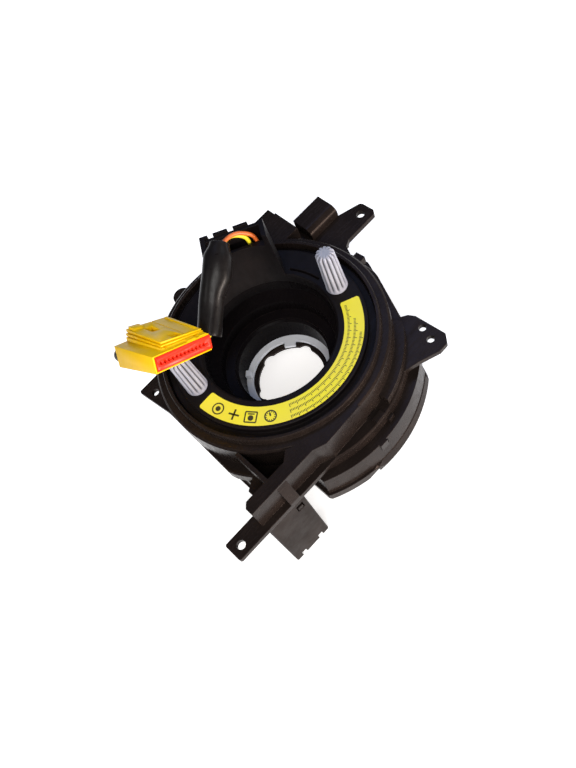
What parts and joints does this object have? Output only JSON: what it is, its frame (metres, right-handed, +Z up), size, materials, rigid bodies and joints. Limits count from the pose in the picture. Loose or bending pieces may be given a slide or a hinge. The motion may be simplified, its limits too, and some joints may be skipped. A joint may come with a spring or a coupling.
{
  "type": "steering clock spring",
  "caption": "Rotary electrical coupler for a steering wheel: a turning rotor with driver pins, a lead tower and a plug on a short lead, in a lugged housing over an angle sensor.",
  "frame": {"origin": "on the steering axis, level with the mounting face, the underside of the lugs", "axes": "+Z up the steering axis towards the driver; -Y is the side with the main harness connector; +X is the side with the single long lug"},
  "size_m": [0.1507, 0.1243, 0.1082],
  "materials": {
    "black_plastic": "satin moulded",
    "sleeve_black": "glossy shrunk",
    "pin_grey": "satin moulded",
    "ring_grey": "satin moulded",
    "label_yellow": "printed film",
    "plug_yellow": "satin moulded",
    "lock_red": "satin moulded",
    "core_yellow": "insulation",
    "core_orange": "insulation",
    "gear_white": "acetal",
    "board_green": "laminate",
    "ribbon_white": "film",
    "magnet": "sintered",
    "terminal_brass": "tinned"
  },
  "bodies": {
    "stator": {"outer_housing": "black_plastic", "chamber_floor": "black_plastic", "ribbon_cable": "ribbon_white", "sensor_housing": "black_plastic", "sensor_base_cover": "black_plastic", "sensor_circuit_board": "board_green", "harness_connector_shroud": "black_plastic", "harness_terminals": "terminal_brass", "side_connector_housing": "black_plastic", "side_terminals": "terminal_brass"},
    "rotor": {"rotor_disc": "black_plastic", "hub_sleeve": "black_plastic", "shaft_drive_ring": "ring_grey", "sensor_ring_gear": "gear_white", "driver_pin_right": "pin_grey", "driver_pin_left": "pin_grey", "yellow_label": "label_yellow", "tower_header": "black_plastic", "yellow_core": "core_yellow", "orange_core": "core_orange", "lead_sleeve": "sleeve_black", "lead_boot": "sleeve_black", "plug_body": "plug_yellow", "plug_lock": "lock_red"},
    "first_gear": {"first_measuring_gear": "gear_white", "first_gear_magnet": "magnet"},
    "second_gear": {"second_measuring_gear": "gear_white", "second_gear_magnet": "magnet"}
  },
  "joints": [
    {"name": "rotor_turn", "type": "hinge", "parent": "stator", "child": "rotor", "pos_m": [0, 0, 0], "axis": [0, 0, 1], "range_deg": [-1170, 1170]},
    {"name": "first_gear_spin", "type": "hinge", "parent": "stator", "child": "first_gear", "pos_m": [-0.02, 0.03464, -0.0098], "axis": [0, 0, 1], "range_deg": [-3511, 3511]},
    {"name": "second_gear_spin", "type": "hinge", "parent": "stator", "child": "second_gear", "pos_m": [0.0205, 0.03551, -0.0098], "axis": [0, 0, 1], "range_deg": [-3192, 3192]}
  ],
  "couplings": [
    {"joint": "first_gear_spin", "follows": "rotor_turn", "ratio": -3},
    {"joint": "second_gear_spin", "follows": "rotor_turn", "ratio": -2.7273}
  ]
}
